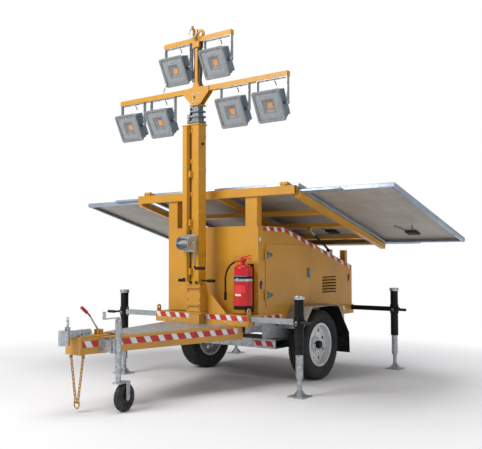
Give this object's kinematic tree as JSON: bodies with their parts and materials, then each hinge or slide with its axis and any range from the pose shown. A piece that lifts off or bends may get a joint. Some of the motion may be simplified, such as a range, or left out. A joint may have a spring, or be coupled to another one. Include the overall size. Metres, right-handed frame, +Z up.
{
  "type": "solar lighting tower trailer",
  "caption": "Towable solar lighting tower: yellow single-axle trailer with battery cabinet, sliding solar wings, telescopic mast with floodlights and outrigger jacks.",
  "frame": {"origin": "middle of the footprint, on the ground", "axes": "+X forward to the coupling, +Y to the trailer's left, +Z up"},
  "size_m": [3.55, 3.6, 3.26],
  "materials": {
    "yellow_paint": "semi-gloss powder coat",
    "galvanised": "hot-dip galvanised",
    "red_paint": "gloss enamel",
    "black_paint": "satin powder coat",
    "tyre_rubber": "moulded",
    "rim_silver": "silver lacquer",
    "black_rubber": "moulded",
    "cable_black": "PVC sheath",
    "cell_glass": "solar cells under glass in an aluminium frame",
    "lamp_casting": "die cast, grey powder coat",
    "battery_plastic": "moulded",
    "axle_black": "chassis paint",
    "latch_alloy": "blue-grey lacquer",
    "zinc": "bright zinc",
    "gold_zinc": "yellow passivated zinc",
    "polished_rod": "polished"
  },
  "bodies": {
    "chassis": {"chassis_frame": "yellow_paint", "drawbar": "yellow_paint", "subframe": "galvanised", "running_gear": "axle_black", "mudguards": "galvanised", "cabinet_shell": "yellow_paint", "power_pack": "battery_plastic", "mast_column": "yellow_paint", "winch_frame": "zinc", "jockey_clamp": "galvanised", "coupling_body": "zinc", "extinguisher": "red_paint", "extinguisher_bracket": "black_paint", "safety_chains": "gold_zinc"},
    "wheel_left": {"rim_left": "rim_silver", "tyre_left": "tyre_rubber"},
    "wheel_right": {"rim_right": "rim_silver", "tyre_right": "tyre_rubber"},
    "door_l": {"door_left": "yellow_paint"},
    "door_r": {"door_right": "yellow_paint"},
    "paddle_l": {"latch_left": "latch_alloy"},
    "paddle_r": {"latch_right": "latch_alloy"},
    "stage_1": {"mast_stage_1": "galvanised"},
    "stage_2": {"mast_stage_2": "galvanised"},
    "head": {"mast_head": "yellow_paint", "lamp_brackets": "galvanised", "head_cables": "cable_black"},
    "ring": {"lifting_ring": "zinc"},
    "winch_handle": {"winch_crank": "zinc"},
    "array": {"array_frame": "yellow_paint", "centre_panels": "cell_glass"},
    "wing_l": {"wing_left": "cell_glass"},
    "wing_r": {"wing_right": "cell_glass"},
    "tubes": {"strut_tubes": "black_paint"},
    "rods": {"strut_rods": "polished_rod"},
    "jockey_post": {"jockey_tube": "galvanised"},
    "jockey_inner": {"jockey_stem": "galvanised"},
    "caster": {"jockey_fork": "galvanised"},
    "small_wheel": {"jockey_wheel": "black_rubber"},
    "jockey_handle": {"jockey_crank": "galvanised"},
    "handbrake": {"handbrake_lever": "zinc"},
    "trigger": {"coupling_trigger": "zinc"},
    "lamp_1": {"floodlight_1": "lamp_casting"},
    "lamp_2": {"floodlight_2": "lamp_casting"},
    "lamp_3": {"floodlight_3": "lamp_casting"},
    "lamp_4": {"floodlight_4": "lamp_casting"},
    "lamp_5": {"floodlight_5": "lamp_casting"},
    "lamp_6": {"floodlight_6": "lamp_casting"},
    "arm_fl": {"outrigger_arm_fl": "black_paint"},
    "leg_fl": {"jack_leg_fl": "galvanised"},
    "handle_fl": {"jack_crank_fl": "black_rubber"},
    "arm_fr": {"outrigger_arm_fr": "black_paint"},
    "leg_fr": {"jack_leg_fr": "galvanised"},
    "handle_fr": {"jack_crank_fr": "black_rubber"},
    "arm_rl": {"outrigger_arm_rl": "black_paint"},
    "leg_rl": {"jack_leg_rl": "galvanised"},
    "handle_rl": {"jack_crank_rl": "black_rubber"},
    "arm_rr": {"outrigger_arm_rr": "black_paint"},
    "leg_rr": {"jack_leg_rr": "galvanised"},
    "handle_rr": {"jack_crank_rr": "black_rubber"}
  },
  "joints": [
    {"name": "wheel_left_spin", "type": "hinge", "parent": "chassis", "child": "wheel_left", "pos_m": [-0.692, 0.665, 0.325], "axis": [0, 1, 0], "continuous": true},
    {"name": "wheel_right_spin", "type": "hinge", "parent": "chassis", "child": "wheel_right", "pos_m": [-0.692, -0.665, 0.325], "axis": [0, 1, 0], "continuous": true},
    {"name": "mast_lift", "type": "slide", "parent": "chassis", "child": "stage_1", "axis": [0, 0, 1], "range_m": [0, 1.25]},
    {"name": "mast_lift_2", "type": "slide", "parent": "stage_1", "child": "stage_2", "axis": [0, 0, 1], "range_m": [0, 1.25]},
    {"name": "mast_lift_3", "type": "slide", "parent": "stage_2", "child": "head", "axis": [0, 0, 1], "range_m": [0, 1.25]},
    {"name": "winch_turn", "type": "hinge", "parent": "chassis", "child": "winch_handle", "pos_m": [0.3845, 0, 1.276], "axis": [0, 1, 0], "range_deg": [-15, 2400]},
    {"name": "ring_swing", "type": "hinge", "parent": "head", "child": "ring", "pos_m": [0.293, 0, 3.24], "axis": [0, 1, 0], "range_deg": [-175, 4]},
    {"name": "lamp_tilt_1", "type": "hinge", "parent": "head", "child": "lamp_1", "pos_m": [0.223, -0.83, 2.4415], "axis": [0, 1, 0], "range_deg": [-40, 60]},
    {"name": "lamp_tilt_2", "type": "hinge", "parent": "head", "child": "lamp_2", "pos_m": [0.223, -0.43, 2.4415], "axis": [0, 1, 0], "range_deg": [-40, 60]},
    {"name": "lamp_tilt_3", "type": "hinge", "parent": "head", "child": "lamp_3", "pos_m": [0.223, 0.43, 2.4415], "axis": [0, 1, 0], "range_deg": [-40, 60]},
    {"name": "lamp_tilt_4", "type": "hinge", "parent": "head", "child": "lamp_4", "pos_m": [0.223, 0.83, 2.4415], "axis": [0, 1, 0], "range_deg": [-40, 60]},
    {"name": "lamp_tilt_5", "type": "hinge", "parent": "head", "child": "lamp_5", "pos_m": [0.223, -0.24, 2.9075], "axis": [0, 1, 0], "range_deg": [-40, 60]},
    {"name": "lamp_tilt_6", "type": "hinge", "parent": "head", "child": "lamp_6", "pos_m": [0.223, 0.24, 2.9075], "axis": [0, 1, 0], "range_deg": [-40, 60]},
    {"name": "array_tilt", "type": "hinge", "parent": "chassis", "child": "array", "pos_m": [0.03, 0, 1.785], "axis": [0, 1, 0], "range_deg": [0, 8]},
    {"name": "strut_swing", "type": "hinge", "parent": "chassis", "child": "tubes", "pos_m": [-1.292, 0, 1.215], "axis": [0, -1, 0], "range_deg": [0, 18]},
    {"name": "strut_extend", "type": "slide", "parent": "tubes", "child": "rods", "axis": [0.8857, 0, 0.4643], "range_m": [0, 0.0415]},
    {"name": "wing_left_slide", "type": "slide", "parent": "array", "child": "wing_l", "axis": [0, -1, 0], "range_m": [0, 0.86]},
    {"name": "wing_right_slide", "type": "slide", "parent": "array", "child": "wing_r", "axis": [0, 1, 0], "range_m": [0, 0.86]},
    {"name": "door_left_hinge", "type": "hinge", "parent": "chassis", "child": "door_l", "pos_m": [-0.07, 0.547, 0.983], "axis": [0, 0, -1], "range_deg": [0, 95]},
    {"name": "door_right_hinge", "type": "hinge", "parent": "chassis", "child": "door_r", "pos_m": [-0.07, -0.547, 0.983], "axis": [0, 0, 1], "range_deg": [0, 95]},
    {"name": "latch_left_turn", "type": "hinge", "parent": "door_l", "child": "paddle_l", "pos_m": [-0.81, 0.54, 0.997], "axis": [0, 1, 0], "range_deg": [0, 90]},
    {"name": "latch_right_turn", "type": "hinge", "parent": "door_r", "child": "paddle_r", "pos_m": [-0.81, -0.54, 0.997], "axis": [0, 1, 0], "range_deg": [0, 90]},
    {"name": "arm_slide_fl", "type": "slide", "parent": "chassis", "child": "arm_fl", "axis": [0, 1, 0], "range_m": [-0.4, 0]},
    {"name": "leg_slide_fl", "type": "slide", "parent": "arm_fl", "child": "leg_fl", "axis": [0, 0, 1], "range_m": [-0.1, 0.25]},
    {"name": "jack_turn_fl", "type": "hinge", "parent": "arm_fl", "child": "handle_fl", "pos_m": [0.141, 1.028, 0.612], "axis": [0, 1, 0], "range_deg": [-3700, 9100]},
    {"name": "arm_slide_fr", "type": "slide", "parent": "chassis", "child": "arm_fr", "axis": [0, -1, 0], "range_m": [-0.4, 0]},
    {"name": "leg_slide_fr", "type": "slide", "parent": "arm_fr", "child": "leg_fr", "axis": [0, 0, 1], "range_m": [-0.1, 0.25]},
    {"name": "jack_turn_fr", "type": "hinge", "parent": "arm_fr", "child": "handle_fr", "pos_m": [0.141, -1.028, 0.612], "axis": [0, -1, 0], "range_deg": [-3700, 9100]},
    {"name": "arm_slide_rl", "type": "slide", "parent": "chassis", "child": "arm_rl", "axis": [0, 1, 0], "range_m": [-0.4, 0]},
    {"name": "leg_slide_rl", "type": "slide", "parent": "arm_rl", "child": "leg_rl", "axis": [0, 0, 1], "range_m": [-0.1, 0.25]},
    {"name": "jack_turn_rl", "type": "hinge", "parent": "arm_rl", "child": "handle_rl", "pos_m": [-1.7, 1.028, 0.612], "axis": [0, 1, 0], "range_deg": [-3700, 9100]},
    {"name": "arm_slide_rr", "type": "slide", "parent": "chassis", "child": "arm_rr", "axis": [0, -1, 0], "range_m": [-0.4, 0]},
    {"name": "leg_slide_rr", "type": "slide", "parent": "arm_rr", "child": "leg_rr", "axis": [0, 0, 1], "range_m": [-0.1, 0.25]},
    {"name": "jack_turn_rr", "type": "hinge", "parent": "arm_rr", "child": "handle_rr", "pos_m": [-1.7, -1.028, 0.612], "axis": [0, -1, 0], "range_deg": [-3700, 9100]},
    {"name": "jockey_swing", "type": "hinge", "parent": "chassis", "child": "jockey_post", "pos_m": [1.448, 0.23943, 0.491], "axis": [0, 1, 0], "range_deg": [-90, 0]},
    {"name": "jockey_raise", "type": "slide", "parent": "jockey_post", "child": "jockey_inner", "axis": [0, 0, 1], "range_m": [-0.05, 0.075]},
    {"name": "caster_swivel", "type": "hinge", "parent": "jockey_inner", "child": "caster", "pos_m": [1.448, 0.26943, 0.23], "axis": [0, 0, 1], "continuous": true},
    {"name": "small_wheel_spin", "type": "hinge", "parent": "caster", "child": "small_wheel", "pos_m": [1.37315, 0.25624, 0.105], "axis": [-0.1736, 0.9848, 0], "continuous": true},
    {"name": "jockey_turn", "type": "hinge", "parent": "jockey_post", "child": "jockey_handle", "pos_m": [1.448, 0.26943, 0.7], "axis": [0, 0, 1], "range_deg": [-3700, 5500]},
    {"name": "handbrake_pull", "type": "hinge", "parent": "chassis", "child": "handbrake", "pos_m": [1.4, 0, 0.586], "axis": [0, 1, 0], "range_deg": [-45, 0]},
    {"name": "trigger_lift", "type": "hinge", "parent": "chassis", "child": "trigger", "pos_m": [1.701, 0, 0.626], "axis": [0, -1, 0], "range_deg": [0, 30], "stiffness_Nm_per_rad": 1.5, "springref_deg": -5.73}
  ],
  "couplings": [
    {"joint": "mast_lift_2", "follows": "mast_lift", "ratio": 1},
    {"joint": "mast_lift_3", "follows": "mast_lift", "ratio": 1},
    {"joint": "winch_turn", "follows": "mast_lift", "rad_per_m": 33.3},
    {"joint": "strut_swing", "follows": "array_tilt", "ratio": 2.0107},
    {"joint": "strut_extend", "follows": "array_tilt", "m_per_rad": 0.27579},
    {"joint": "jack_turn_fl", "follows": "leg_slide_fl", "rad_per_m": 628.3},
    {"joint": "jack_turn_fr", "follows": "leg_slide_fr", "rad_per_m": 628.3},
    {"joint": "jack_turn_rl", "follows": "leg_slide_rl", "rad_per_m": 628.3},
    {"joint": "jack_turn_rr", "follows": "leg_slide_rr", "rad_per_m": 628.3},
    {"joint": "jockey_turn", "follows": "jockey_raise", "rad_per_m": 1256.6}
  ]
}
